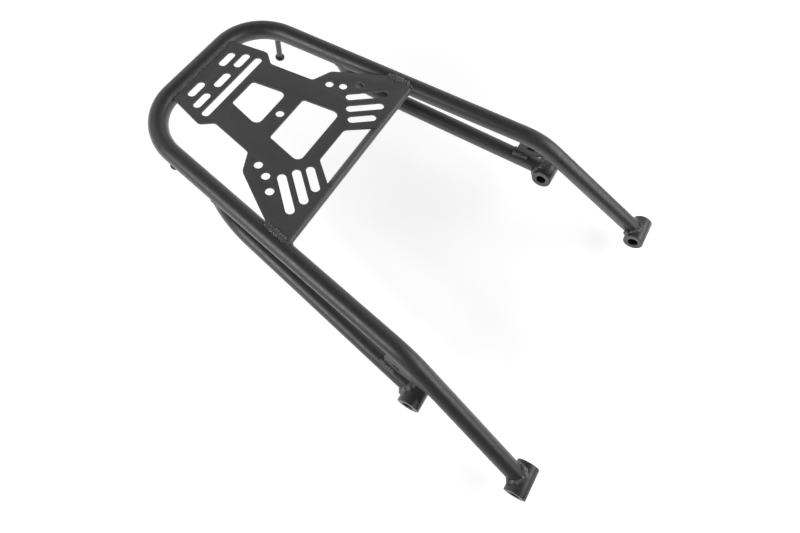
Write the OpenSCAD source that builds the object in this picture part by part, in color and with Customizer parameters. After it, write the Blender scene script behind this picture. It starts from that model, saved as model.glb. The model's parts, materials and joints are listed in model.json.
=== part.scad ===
// Top case rack for the tail of a motorcycle.
// A bent tube loop carries a slotted plate. Two struts run below it, and four
// cross tubes at the ends take the bolts to the bike.
// Millimetres. +Z is up, +Y points to the rear and X runs across.
// The origin is the middle of the plate's centre hole, at the plate's top face.

/* [Main loop] */
// Outer diameter of the loop's tube
tube_d = 18; // [17.6:0.2:20]
// Wall of the loop's and the struts' tubes
tube_wall = 2; // [1.2:0.2:3]
// Half the width at the rear corners, to where the centrelines would cross
rear_half_width = 83.3; // [80:0.5:92]
// Half the width at the front bends, to where the centrelines would cross
front_half_width = 134.2; // [130:0.5:142]
// From the plate's centre hole back to the rear tube's centreline
rear_reach = 99.3; // [97:0.5:106]
// From the plate's centre hole forward to the front bends
front_reach = 228.3; // [222:1:236]
// From the plate's top face down to the rear tube's centreline
rear_drop = 5.5; // [4.5:0.25:7]
// From the plate's top face down to the centreline at the front bends
front_drop = 12.9; // [11.5:0.25:14.5]
// Centreline radius of the two rear bends
rear_bend_r = 52; // [40:1:56]
// Centreline radius of the two front bends
front_bend_r = 80; // [60:5:90]

/* [Struts] */
// Outer diameter of the struts' tube
strut_d = 17; // [15:0.5:17]
// Where the struts leave the loop, forward of the centre hole
strut_root_y = 5.1; // [0:0.5:8]
// How far forward of its root the strut's bend has its corner point
strut_turn_y = 6.9; // [5:0.5:12]
// How far below its root the strut's bend has its corner point
strut_turn_drop = 30.1; // [28:0.5:34]

/* [Bolt tubes] */
// Outer diameter of the four bolt tubes
lug_d = 22; // [20:0.5:24]
// Length of the four bolt tubes across the rack
lug_length = 31.5; // [28:0.5:36]
// Bore for the bolts
lug_bore = 10.5; // [8.5:0.5:12.5]
// Chamfer at both mouths of each bore
lug_chamfer = 0.6; // [0.2:0.1:1]
// Middle of a front bolt tube, out from the centre plane
front_lug_x = 155.2; // [150:0.5:160]
// Front bolt tubes, forward of the centre hole
front_lug_y = 376.2; // [360:1:390]
// Front bolt tubes, below the plate's top face
front_lug_drop = 91; // [80:1:100]
// Middle of a rear bolt tube, out from the centre plane
rear_lug_x = 144.2; // [141:0.5:148]
// From the corner of the front bend forward to the rear bolt tubes
rear_lug_lead = 21.2; // [18:0.2:28]
// Rear bolt tubes, below the plate's top face
rear_lug_drop = 60; // [57:0.5:64]

/* [Plate] */
// Thickness of the slotted plate
plate_t = 2.5; // [2:0.25:4]
// Half the width of the plate at the rear tube
plate_rear_half = 44; // [36:0.5:44]
// Front edge of the plate, forward of the centre hole
plate_front = 85; // [84:0.5:87]
// Diameter of the plate's round holes
hole_d = 8.5; // [6.5:0.5:9]
// Width of all the plate's slots
slot_w = 8.5; // [6.5:0.5:9]
// Length of the five short slots near the rear
short_slot_l = 21; // [14:0.5:22]
// Length of the long cross slot
long_slot_l = 87.8; // [70:1:90]
// From the plate's rear edge to the first row of slots
first_row = 11; // [10.5:0.25:13]
// From one row of slots to the next
row_pitch = 12.5; // [11.5:0.25:14]
// Middles of the two slots in the first row, out from the centre plane
first_row_x = 23.2; // [20:0.4:25]
// From one slot to the next in the second row
short_pitch = 30.5; // [28:0.5:32]
// Direction of the slots in the wings, from straight across
wing_slot_angle = 48; // [44:1:52]

/* [Crossbar and gussets] */
// Diameter of the bar below the plate's front edge
crossbar_d = 9; // [7:0.5:10]
// From the bar's centreline forward to the plate's front edge
crossbar_setback = 1.5; // [1:0.25:3]
// Thickness of the gussets between loop and struts
gusset_t = 3; // [2:0.5:4]
// Length of a gusset along the strut
gusset_foot_l = 17.4; // [14:0.4:22]
// From a gusset's rear edge forward to the corner of the front bend
gusset_setback = 18.8; // [16:0.4:22]
// From the corner of the front bend forward to where a gusset's front edge ends
gusset_nose = 31.3; // [26:0.5:36]
// Height above the strut at which a gusset's front edge begins to slant
gusset_lip = 1.9; // [1:0.1:4]
// Length of the slot through each gusset
gusset_slot_l = 8.5; // [6:0.5:10]
// Height of the slot through each gusset
gusset_slot_w = 3.6; // [3:0.2:5]
// From a gusset's rear edge forward to the middle of its slot
gusset_slot_setback = 13.5; // [11:0.5:15]
// From the loop's centreline down to the middle of the slot
gusset_slot_drop = 23; // [20:0.5:25]

/* [Hook pins and welds] */
// Diameter of the hook pins below the rear bends
pin_d = 6; // [5:0.5:7]
// How far a pin's head reaches below the loop's centreline
pin_reach = 38; // [32:1:46]
// Diameter of the round head
pin_head_d = 10; // [8:0.25:12]
// Thickness of the round head
pin_head_t = 2.5; // [1.5:0.25:4]
// Where on the rear bend a pin hangs, in degrees from the bend's side end
pin_angle = 15; // [8:1:24]
// Size of the larger weld beads
weld = 2.6; // [2.2:0.2:3]
// Size of the fine weld beads
fine_weld = 1.6; // [1:0.2:2]

/* [Hidden] */

$fn = 64;
tube_r = tube_d / 2;
strut_r = strut_d / 2;
lug_r = lug_d / 2;
crossbar_r = crossbar_d / 2;
tube_colour = [0.17, 0.17, 0.175];
plate_colour = [0.27, 0.27, 0.275];
bead_colour = [0.24, 0.24, 0.245];
// Points on an arc where an outline turns a corner
arc_steps = 10;
// How far a cutting shape runs past what it cuts
past = 1;
// The tube swells by this much where it is bent, and a straight run laps into
// the bend by the second value, so that run and bend join inside the wall
swell = 0.05;
lap = 0.4;
// Cutting shapes along a side tube end this far from the corners of its bends
bend_stub = 60;

// Rear bolt tubes, forward of the centre hole
rear_lug_y = front_reach + rear_lug_lead;

// The loop's corner points on the right side
rear_corner = [rear_half_width, rear_reach, -rear_drop];
front_corner = [front_half_width, -front_reach, -front_drop];
front_lug = [front_lug_x, -front_lug_y, -front_lug_drop];
rear_lug = [rear_lug_x, -rear_lug_y, -rear_lug_drop];
// Across step, and fall, of the side tubes for each millimetre forward
side_spread = (front_half_width - rear_half_width) / (front_reach + rear_reach);
side_fall = (front_drop - rear_drop) / (front_reach + rear_reach);

// The point where the side tube's centreline crosses a given y
function side_point(y) = [
    rear_half_width + (rear_reach - y) * side_spread,
    y,
    -rear_drop - (rear_reach - y) * side_fall
];

strut_root = side_point(-strut_root_y);
// A strut leans outwards by this much of its drop
strut_lean = 0.15;
strut_turn = [
    strut_root.x + strut_turn_drop * strut_lean,
    -strut_root_y - strut_turn_y,
    strut_root.z - strut_turn_drop
];

function unit(v) = v / norm(v);
function mirrored(p) = [-p.x, p.y, p.z];
// A direction square to the given one
function square_to(d) = unit(cross(d, abs(d.z) < 0.9 ? [0, 0, 1] : [1, 0, 0]));
// A placement from three square unit vectors and an origin
function placed(x, y, z, at) = [
    [x.x, y.x, z.x, at.x],
    [x.y, y.y, z.y, at.y],
    [x.z, y.z, z.z, at.z],
    [0, 0, 0, 1]
];

// Turning angle between two directions, and a bend's length along each leg
function turn_angle(a, b) = acos(a * b);
function setback(a, b, radius) = radius * tan(turn_angle(a, b) / 2);
// Towards the inside of the bend, square to the first direction
function inward(a, b) = unit(b - a * (a * b));

// How far a run stops short of point i of a path, zero at the path's ends
function path_gap(points, radii, i) =
    i == 0 || i == len(points) - 1
        ? 0
        : setback(
            unit(points[i] - points[i - 1]),
            unit(points[i + 1] - points[i]),
            radii[i - 1]
        ) - lap;

// A round section, open inside where a wall is given
module ring(radius, wall) {
    difference() {
        circle(radius);
        if (wall > 0) circle(radius - wall);
    }
}

// A straight run between two points
module straight(from, to, radius, wall = 0) {
    axis = unit(to - from);
    side = square_to(axis);
    multmatrix(placed(side, cross(axis, side), axis, from))
        linear_extrude(height = norm(to - from))
            ring(radius, wall);
}

// A bend at a corner point, from direction a to direction b
module bend(corner, a, b, bend_radius, radius, wall = 0) {
    inner = inward(a, b);
    start = corner - a * setback(a, b, bend_radius);
    centre = start + inner * bend_radius;
    multmatrix(placed(-inner, a, cross(-inner, a), centre))
        rotate_extrude(angle = turn_angle(a, b), $fn = 96)
            translate([bend_radius, 0])
                ring(radius + swell, wall > 0 ? wall + 2 * swell : 0);
}

// The straight run that follows point i of a path
module path_run(points, radii, i, radius, wall = 0) {
    axis = unit(points[i + 1] - points[i]);
    straight(
        points[i] + axis * path_gap(points, radii, i),
        points[i + 1] - axis * path_gap(points, radii, i + 1),
        radius,
        wall
    );
}

// The bend at point i of a path
module path_bend(points, radii, i, radius, wall = 0) {
    bend(
        points[i],
        unit(points[i] - points[i - 1]),
        unit(points[i + 1] - points[i]),
        radii[i - 1],
        radius,
        wall
    );
}

// A bent tube or bar through the given points
module bent_tube(points, radii, radius, wall = 0) {
    for (i = [0 : len(points) - 2]) path_run(points, radii, i, radius, wall);
    for (i = [1 : len(points) - 2]) path_bend(points, radii, i, radius, wall);
}

loop_points = [
    mirrored(front_lug), mirrored(front_corner), mirrored(rear_corner),
    rear_corner, front_corner, front_lug
];
loop_radii = [front_bend_r, rear_bend_r, rear_bend_r, front_bend_r];

// The loop as a solid bar, grown where a weld bead needs room around it
module loop_bar(grow = 0) {
    bent_tube(loop_points, loop_radii, tube_r + grow);
}

// The right half's front bend with some of the tube before and after it
module front_bend_bar(grow = 0) {
    bent_tube(
        [side_point(-front_reach + bend_stub), front_corner, (front_corner + front_lug) / 2],
        [front_bend_r],
        tube_r + grow
    );
}

// The right side tube near the plate and the strut's root
module side_bar(grow = 0) {
    straight(
        side_point(rear_reach - bend_stub),
        side_point(-front_reach + bend_stub),
        tube_r + grow
    );
}

// A strut is one bend from the loop's centreline and one straight run
strut_fall = unit(strut_turn - strut_root);
strut_line = unit(rear_lug - strut_turn);
strut_bend_r = norm(strut_turn - strut_root) / tan(turn_angle(strut_fall, strut_line) / 2);

module strut_bend(radius, wall = 0) {
    bend(strut_turn, strut_fall, strut_line, strut_bend_r, radius, wall);
}

module strut_run(radius, wall = 0) {
    gap = norm(strut_turn - strut_root) - lap;
    straight(strut_turn + strut_line * gap, rear_lug, radius, wall);
}

// A bolt tube's outside as a bar across the rack
module lug_bar(at, grow = 0, length = lug_length) {
    translate(at)
        rotate([0, 90, 0])
            cylinder(r = lug_r + grow, h = length, center = true);
}

// A shape for the right side, or its mirror image for the left
module on_side(right) {
    mirror([right ? 0 : 1, 0, 0]) children();
}

// The bent loop tube, shaped at its ends to sit on the front bolt tubes
module main_loop_tube() {
    last_run = len(loop_points) - 2;
    color(tube_colour) {
        for (i = [1 : last_run - 1]) path_run(loop_points, loop_radii, i, tube_r, tube_wall);
        for (i = [1 : last_run]) path_bend(loop_points, loop_radii, i, tube_r, tube_wall);
        for (i = [0, last_run])
            difference() {
                path_run(loop_points, loop_radii, i, tube_r, tube_wall);
                lug_bar(i == 0 ? mirrored(front_lug) : front_lug);
            }
    }
}

module strut_shape() {
    color(tube_colour) {
        difference() {
            strut_bend(strut_r, tube_wall);
            side_bar();
        }
        difference() {
            strut_run(strut_r, tube_wall);
            lug_bar(rear_lug);
        }
    }
}

module left_strut() {
    on_side(false) strut_shape();
}

module right_strut() {
    on_side(true) strut_shape();
}

// The bar below the plate's front edge
crossbar_y = -plate_front + crossbar_setback;
crossbar_z = -plate_t - crossbar_r;

module crossbar_bar(grow = 0) {
    reach = side_point(crossbar_y).x;
    translate([0, crossbar_y, crossbar_z])
        rotate([0, 90, 0])
            cylinder(r = crossbar_r + grow, h = 2 * reach, center = true);
}

module crossbar() {
    color(tube_colour)
        difference() {
            crossbar_bar();
            side_bar();
            on_side(false) side_bar();
        }
}

// Half height of a tube's section at a given height above its centreline
function half_chord(radius, height) = sqrt(max(0, radius * radius - height * height));

// How far the wings' edges reach into the round of the side tubes, at the underside
wing_bite = 0.5;
// How far the plate's wings stop short of the side tubes' centrelines
wing_inset = half_chord(tube_r, -side_point(-plate_front / 2).z - plate_t) - wing_bite;
// Where the plate's rear edge meets the rear tube, at the plate's top face
rear_edge_y = rear_reach - half_chord(tube_r, rear_drop);
// Rear end of the wings' outer edges and of the notch between the wings
wing_rear_y = -60.3;

function wing_edge(y) = [side_point(y).x - wing_inset, y];

// The plate's outline on the right half, as half widths and the corners' radii.
// The tail is widest beside the long slot, and the waist lies between both windows.
tail_half = 53.5;
tail_y = rear_edge_y - 37.9;
tail_round = 6;
waist_rear_half = 43.7;
waist_rear_y = rear_edge_y - 49.3;
waist_front_half = 51.9;
waist_front_y = -1.9;
waist_round = 5;
wing_root_half = 72;
wing_root_y = -10.9;
wing_round = 9;
notch_front_half = 41.2;
notch_rear_half = 20.7;
notch_round = 6;

// Corners of the right half of the outline, each with its radius
right_outline = [
    [[plate_rear_half, rear_edge_y + past], 0],
    [[tail_half, tail_y], tail_round],
    [[waist_rear_half, waist_rear_y], waist_round],
    [[waist_front_half, waist_front_y], waist_round],
    [[wing_root_half, wing_root_y], wing_round],
    [wing_edge(wing_rear_y), 0],
    [wing_edge(-plate_front), 0],
    [[notch_front_half, -plate_front], 0],
    [[notch_rear_half, wing_rear_y], notch_round]
];

// The windows narrow to the rear: half widths, places and radii of their rims
rear_window_wide = 24.2;
rear_window_front = 8.7;
rear_window_narrow = 16.2;
rear_window_back = waist_rear_y + 1.9;
front_window_wide = 35.1;
front_window_front = -46.8;
front_window_narrow = 27.4;
front_window_back = -7.8;
wide_rim_round = 6.5;
narrow_rim_round = 3.5;

rear_window = [
    [[rear_window_wide, rear_window_front], wide_rim_round],
    [[rear_window_narrow, rear_window_back], narrow_rim_round]
];
front_window = [
    [[front_window_wide, front_window_front], wide_rim_round],
    [[front_window_narrow, front_window_back], narrow_rim_round]
];

// The mirror image of a list of corners, in the other order
function other_half(corners) = [
    for (i = [len(corners) - 1 : -1 : 0]) [[-corners[i][0].x, corners[i][0].y], corners[i][1]]
];

// The points of one corner: itself where sharp, or an arc of the given radius
function corner_points(before, at, after, radius) =
    radius == 0
        ? [at]
        : let (
            a = unit(at - before),
            b = unit(after - at),
            angle = acos(a * b),
            reach = radius * tan(angle / 2),
            start = at - a * reach,
            inner = unit(b - a * (a * b)),
            centre = start + inner * radius
        )
        [
            for (step = [0 : arc_steps])
                let (turn = angle * step / arc_steps)
                    centre - inner * radius * cos(turn) + a * radius * sin(turn)
        ];

// An outline whose corners are rounded
function rounded(corners) = [
    for (i = [0 : len(corners) - 1])
        let (
            before = corners[(i + len(corners) - 1) % len(corners)][0],
            after = corners[(i + 1) % len(corners)][0]
        )
        each corner_points(before, corners[i][0], after, corners[i][1])
];

// A slot with round ends
module slot(at, length, angle = 0) {
    reach = (length - slot_w) / 2;
    translate(at)
        rotate(angle) {
            square([2 * reach, slot_w], center = true);
            translate([reach, 0]) circle(d = slot_w);
            translate([-reach, 0]) circle(d = slot_w);
        }
}

// Middles of the round holes and the slots on the right half
wing_holes = [[57.9, -18.1], [63.7, -30.6], [74.6, -43.1]];
wing_slots = [[[68.3, -56.3], 43.5], [[54.9, -62.5], 38.3], [[41.7, -67.4], 28.5]];
// The rows of slots near the rear edge
row_y = [for (row = [0 : 2]) rear_edge_y - first_row - row * row_pitch];

module plate_cuts() {
    polygon(rounded(concat(rear_window, other_half(rear_window))));
    polygon(rounded(concat(front_window, other_half(front_window))));
    circle(d = hole_d);
    slot([0, row_y[1]], short_slot_l);
    slot([0, row_y[2]], long_slot_l);
    for (side = [-1, 1]) {
        for (at = wing_holes) translate([side * at.x, at.y]) circle(d = hole_d);
        slot([side * first_row_x, row_y[0]], short_slot_l);
        slot([side * short_pitch, row_y[1]], short_slot_l);
        for (wing = wing_slots)
            slot([side * wing[0].x, wing[0].y], wing[1], -side * wing_slot_angle);
    }
}

module plate_blank() {
    translate([0, 0, -plate_t])
        linear_extrude(height = plate_t)
            polygon(rounded(concat(right_outline, other_half(right_outline))));
}

module top_plate() {
    color(plate_colour)
        difference() {
            plate_blank();
            translate([0, 0, -plate_t - past])
                linear_extrude(height = plate_t + 2 * past)
                    plate_cuts();
            loop_bar();
        }
}

// A short tube across the rack that takes a bolt, with chamfered mouths
module bolt_tube(at) {
    half = lug_length / 2;
    color(tube_colour)
        translate(at)
            rotate([0, 90, 0])
                rotate_extrude()
                    polygon([
                        [lug_bore / 2, -half + lug_chamfer],
                        [lug_bore / 2 + lug_chamfer, -half],
                        [lug_r, -half],
                        [lug_r, half],
                        [lug_bore / 2 + lug_chamfer, half],
                        [lug_bore / 2, half - lug_chamfer]
                    ]);
}

module front_left_bolt_tube() {
    bolt_tube(mirrored(front_lug));
}

module front_right_bolt_tube() {
    bolt_tube(front_lug);
}

module rear_left_bolt_tube() {
    bolt_tube(mirrored(rear_lug));
}

module rear_right_bolt_tube() {
    bolt_tube(rear_lug);
}

// The gussets stand upright on the struts' centrelines
gusset_rear_y = -front_reach + gusset_setback;
gusset_foot_y = gusset_rear_y - gusset_foot_l;
gusset_tip_y = -front_reach - gusset_nose;
gusset_slot_y = gusset_rear_y - gusset_slot_setback;
gusset_ahead = unit([strut_line.x, strut_line.y, 0]);

function strut_point(y) = strut_turn + strut_line * ((y - strut_turn.y) / strut_line.y);

// The height of the loop's centreline ahead of the corner of its front bend
function leg_z(y) = front_corner.z
    + (front_lug.z - front_corner.z) * (y - front_corner.y) / (front_lug.y - front_corner.y);

// How far a given y lies ahead of a gusset's rear edge, along the gusset
function gusset_run(y) = (y - gusset_rear_y) / gusset_ahead.y;

gusset_corner_z = strut_point(gusset_foot_y).z + strut_r + gusset_lip;
gusset_outline = [
    [0, side_point(gusset_rear_y).z],
    [gusset_run(-front_reach), front_corner.z],
    [gusset_run(gusset_tip_y), leg_z(gusset_tip_y)],
    [gusset_run(gusset_foot_y), gusset_corner_z],
    [gusset_run(gusset_foot_y), strut_point(gusset_foot_y).z],
    [0, strut_point(gusset_rear_y).z]
];

module gusset_sheet(grow = 0) {
    foot = strut_point(gusset_rear_y);
    multmatrix(placed(gusset_ahead, [0, 0, 1], cross(gusset_ahead, [0, 0, 1]), [foot.x, foot.y, 0]))
        linear_extrude(height = gusset_t + 2 * grow, center = true)
            polygon(gusset_outline);
}

// The slot through a gusset, as a bar across the sheet
module gusset_slot() {
    at = strut_point(gusset_slot_y);
    middle_z = side_point(gusset_slot_y).z - gusset_slot_drop;
    reach = (gusset_slot_l - gusset_slot_w) / 2;
    multmatrix(placed(gusset_ahead, [0, 0, 1], cross(gusset_ahead, [0, 0, 1]), [at.x, at.y, middle_z]))
        linear_extrude(height = gusset_t + 2 * past, center = true) {
            square([2 * reach, gusset_slot_w], center = true);
            translate([reach, 0]) circle(d = gusset_slot_w);
            translate([-reach, 0]) circle(d = gusset_slot_w);
        }
}

module gusset_shape() {
    color(tube_colour)
        difference() {
            gusset_sheet();
            front_bend_bar();
            strut_run(strut_r);
            gusset_slot();
        }
}

module left_gusset() {
    on_side(false) gusset_shape();
}

module right_gusset() {
    on_side(true) gusset_shape();
}

// A hook pin hangs from the rear bend's centreline
side_back = unit(rear_corner - front_corner);
bend_inward = inward(side_back, [-1, 0, 0]);
bend_start = rear_corner - side_back * setback(side_back, [-1, 0, 0], rear_bend_r);
pin_at = bend_start
    + bend_inward * rear_bend_r * (1 - cos(pin_angle))
    + side_back * rear_bend_r * sin(pin_angle);
pin_foot_z = pin_at.z - pin_reach;

module rear_bend_bar(grow = 0) {
    bend(rear_corner, side_back, [-1, 0, 0], rear_bend_r, tube_r + grow);
}

module hook_pin_shape() {
    color(tube_colour)
        difference() {
            union() {
                translate([pin_at.x, pin_at.y, pin_foot_z])
                    cylinder(d = pin_d, h = pin_reach, $fn = 32);
                translate([pin_at.x, pin_at.y, pin_foot_z])
                    cylinder(d = pin_head_d, h = pin_head_t);
            }
            rear_bend_bar();
        }
}

module left_hook_pin() {
    on_side(false) hook_pin_shape();
}

module right_hook_pin() {
    on_side(true) hook_pin_shape();
}

// The plate's beads are bars whose middles lie this far above its top face
bead_lift = 0.1 * weld;

// The bead along the plate's rear edge
module plate_rear_weld() {
    color(bead_colour)
        difference() {
            translate([0, rear_edge_y - bead_lift, bead_lift])
                rotate([0, 90, 0])
                    cylinder(r = weld, h = 2 * (plate_rear_half - past), center = true);
            loop_bar();
            plate_blank();
        }
}

// The bead along a wing's outer edge
module plate_side_weld_shape() {
    inset = wing_inset - 0.4 * weld;
    front = side_point(-plate_front + past);
    back = side_point(wing_rear_y + past);
    color(bead_colour)
        difference() {
            straight(
                [back.x - inset, back.y, bead_lift],
                [front.x - inset, front.y, bead_lift],
                weld
            );
            side_bar();
            plate_blank();
        }
}

module plate_left_weld() {
    on_side(false) plate_side_weld_shape();
}

module plate_right_weld() {
    on_side(true) plate_side_weld_shape();
}

// The weld round the crossbar's end, open at the top where the plate covers it
module crossbar_weld_shape() {
    top = -plate_t - fine_weld / 2;
    color(bead_colour)
        difference() {
            intersection() {
                crossbar_bar(fine_weld);
                side_bar(fine_weld);
            }
            side_bar();
            crossbar_bar();
            translate([-front_half_width, -front_reach, top])
                cube([2 * front_half_width, 2 * front_reach, tube_d]);
            translate([-front_half_width, -front_reach, -2 * tube_d])
                cube([front_half_width, 2 * front_reach, 4 * tube_d]);
        }
}

module crossbar_left_weld() {
    on_side(false) crossbar_weld_shape();
}

module crossbar_right_weld() {
    on_side(true) crossbar_weld_shape();
}

// The ring of weld around a tube's end on a bolt tube
module tube_end_weld(from, at, radius) {
    start = at + unit(from - at) * 2 * lug_d;
    color(bead_colour)
        difference() {
            intersection() {
                straight(start, at, radius + weld);
                lug_bar(at, weld);
            }
            lug_bar(at, length = lug_length + 2 * past);
            straight(start, at, radius);
        }
}

module front_left_tube_weld() {
    on_side(false) tube_end_weld(front_corner, front_lug, tube_r);
}

module front_right_tube_weld() {
    on_side(true) tube_end_weld(front_corner, front_lug, tube_r);
}

module rear_left_tube_weld() {
    on_side(false) tube_end_weld(strut_turn, rear_lug, strut_r);
}

module rear_right_tube_weld() {
    on_side(true) tube_end_weld(strut_turn, rear_lug, strut_r);
}

// The ring of weld where a strut leaves the loop
module strut_weld_shape() {
    color(bead_colour)
        difference() {
            intersection() {
                strut_bend(strut_r + weld);
                side_bar(weld);
            }
            side_bar();
            strut_bend(strut_r);
        }
}

module left_strut_weld() {
    on_side(false) strut_weld_shape();
}

module right_strut_weld() {
    on_side(true) strut_weld_shape();
}

// The beads along a gusset's two long edges
module gusset_weld_shape() {
    color(bead_colour)
        difference() {
            intersection() {
                gusset_sheet(fine_weld);
                union() {
                    front_bend_bar(fine_weld);
                    strut_run(strut_r + fine_weld);
                }
            }
            front_bend_bar();
            strut_run(strut_r);
            gusset_sheet();
        }
}

module left_gusset_weld() {
    on_side(false) gusset_weld_shape();
}

module right_gusset_weld() {
    on_side(true) gusset_weld_shape();
}

// The collar of weld around a hook pin's root
module pin_weld_shape() {
    color(bead_colour)
        difference() {
            intersection() {
                translate([pin_at.x, pin_at.y, pin_foot_z])
                    cylinder(r = pin_d / 2 + fine_weld, h = pin_reach, $fn = 32);
                rear_bend_bar(fine_weld);
            }
            rear_bend_bar();
            translate([pin_at.x, pin_at.y, pin_foot_z])
                cylinder(d = pin_d, h = pin_reach + past, $fn = 32);
        }
}

module left_pin_weld() {
    on_side(false) pin_weld_shape();
}

module right_pin_weld() {
    on_side(true) pin_weld_shape();
}

main_loop_tube();
left_strut();
right_strut();
crossbar();
top_plate();
front_left_bolt_tube();
front_right_bolt_tube();
rear_left_bolt_tube();
rear_right_bolt_tube();
left_gusset();
right_gusset();
left_hook_pin();
right_hook_pin();
plate_rear_weld();
plate_left_weld();
plate_right_weld();
crossbar_left_weld();
crossbar_right_weld();
front_left_tube_weld();
front_right_tube_weld();
rear_left_tube_weld();
rear_right_tube_weld();
left_strut_weld();
right_strut_weld();
left_gusset_weld();
right_gusset_weld();
left_pin_weld();
right_pin_weld();
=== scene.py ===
import json
import math
from collections import namedtuple

import bmesh
import bpy
from mathutils import Matrix, Vector, noise


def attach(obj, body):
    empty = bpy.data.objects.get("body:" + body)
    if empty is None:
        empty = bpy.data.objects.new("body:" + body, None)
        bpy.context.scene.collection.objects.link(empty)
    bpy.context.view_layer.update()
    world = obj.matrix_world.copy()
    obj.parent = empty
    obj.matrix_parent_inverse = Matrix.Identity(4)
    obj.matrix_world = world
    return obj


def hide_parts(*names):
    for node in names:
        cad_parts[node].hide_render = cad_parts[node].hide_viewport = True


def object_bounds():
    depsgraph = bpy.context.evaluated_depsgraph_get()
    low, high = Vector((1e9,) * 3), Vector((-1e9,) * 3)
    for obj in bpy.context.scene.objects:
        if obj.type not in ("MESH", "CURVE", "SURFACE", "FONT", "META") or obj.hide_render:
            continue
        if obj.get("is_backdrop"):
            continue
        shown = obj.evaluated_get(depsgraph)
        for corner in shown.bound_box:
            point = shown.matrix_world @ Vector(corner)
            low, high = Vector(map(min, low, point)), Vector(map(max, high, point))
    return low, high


bl_info = {
    "name": "Top case rack",
    "version": (1, 0, 0),
    "blender": (4, 5, 0),
    "location": "View3D > Sidebar > Rack",
    "description": "Builds the pieces of a powder-coated tube rack around its packed solids",
    "category": "Object",
}

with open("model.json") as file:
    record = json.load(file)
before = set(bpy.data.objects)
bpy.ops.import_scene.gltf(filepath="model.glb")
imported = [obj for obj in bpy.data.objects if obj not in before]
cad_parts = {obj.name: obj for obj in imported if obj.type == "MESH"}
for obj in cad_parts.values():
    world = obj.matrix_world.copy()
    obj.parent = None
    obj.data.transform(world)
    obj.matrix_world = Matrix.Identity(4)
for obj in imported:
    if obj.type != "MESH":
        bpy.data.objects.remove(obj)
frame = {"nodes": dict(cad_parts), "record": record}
CAD_LOW, CAD_HIGH = (tuple(corner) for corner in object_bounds())
MOUNTS = {m["name"]: m for m in frame["record"]["mounts"]}
MM = 0.001
SIDES = (("left", -1), ("right", 1))

# Centrelines, radii and outlines of the rack's pieces, as in the solids
TUBE_R = 9 * MM
STRUT_R = 8.5 * MM
LUG_R = 11 * MM
CROSSBAR_R = 4.5 * MM
PIN_R = 3 * MM
PIN_HEAD_R = 5 * MM
LUG_LENGTH = 31.5 * MM
BORE_R = MOUNTS["front_right_bore"]["dims"]["r_mm"] * MM
PLATE_T = 2.5 * MM
PLATE_FRONT_Y = -85 * MM
PLATE_REAR_Y = 92.18 * MM
PLATE_REAR_HALF = 44 * MM
WING_REAR_Y = -60.3 * MM
WING_INSET = 6.02 * MM
CROSSBAR_Y = -83.5 * MM
CROSSBAR_Z = -PLATE_T - CROSSBAR_R
FRONT_LUG = Vector(MOUNTS["front_right_bore"]["pos_m"])
REAR_LUG = Vector(MOUNTS["rear_right_bore"]["pos_m"])
REAR_CORNER = Vector((83.3, 99.3, -5.5)) * MM
FRONT_CORNER = Vector((134.2, -228.3, -12.9)) * MM
REAR_BEND_R = 52 * MM
FRONT_BEND_R = 80 * MM
STRUT_ROOT_Y = -5.1 * MM
STRUT_TURN = Vector((4.515, -6.9, -30.1)) * MM
GUSSET_REAR_Y = -209.5 * MM
GUSSET_FOOT_Y = -226.9 * MM
GUSSET_TIP_Y = -259.6 * MM
GUSSET_LIP = 1.9 * MM
GUSSET_T = 3 * MM
GUSSET_SLOT = Vector((139.7, -223, -35.8)) * MM
GUSSET_SLOT_REACH = 5 * MM
SLOT_WALL_TILT = 0.3
PIN_ANGLE = math.radians(15)
PIN_HEAD_T = 2.5 * MM
PIN_REACH = 38 * MM

# How far the pieces reach into each other below the beads
SEAT_DEPTH = 0.3 * MM
STRUT_SEAT_SHARE = 0.9999
CROSSBAR_SHORT = 4 * MM
PIN_SINK = 1.5 * MM

# Faces, edges and tolerances of the meshes
LUG_SIDES = 72
BAR_SIDES = 40
BEAD_SIDES = 22
CROSSBAR_RING_GAP = 20 * MM
CROSSBAR_END_FROM = 50 * MM
CORNER_STEPS = 4
BORE_CHAMFER = 0.6 * MM
PIN_EDGE = 0.5 * MM
SAME_CORNER = 1e-7
SAME_SHEET_CORNER = 1e-6
SAME_FACE = math.radians(0.8)
SHEET_EDGE = math.radians(50)
SHARP_TUBE = math.radians(40)
SHARP_SHEET = math.radians(35)
SHARP_LUG = math.radians(50)
HALVINGS = 24

# Weld beads: the rings of a bead, its section and its noise
RINGS_PER_RIPPLE = 6
FEWEST_RINGS = 48
BEAD_SINK = 0.35
BEAD_SPREAD = 1.3
BEAD_TILT = math.radians(28)
END_SIZE = 0.45
END_RINGS = 3.0
DRIFT = 2.5
DRIFT_SCALE = 90
LUMP_SCALE = 170
Bead = namedtuple("Bead", "fine size ripple lumps rise")
BEADS = {
    # size and ripple are shares of the sizes in the panel, lumps and rise are shares of the radius
    "plate_rear": Bead(False, 0.45, 2.1, 0.8, 0.05),
    "wing": Bead(False, 1.0, 1.2, 0.4, 0.16),
    "front_tube": Bead(False, 1.15, 1.6, 0.4, 0.08),
    "rear_tube": Bead(False, 1.35, 1.6, 0.45, 0.08),
    "strut": Bead(False, 0.5, 1.0, 0.22, 0.08),
    "crossbar": Bead(True, 1.0, 0.8, 0.22, 0.08),
    "pin": Bead(True, 0.8, 0.6, 0.22, 0.08),
    "gusset_on_loop": Bead(True, 0.5, 1.3, 0.5, 0.10),
    "gusset_on_strut": Bead(False, 1.0, 1.3, 0.5, 0.10),
}

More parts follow.
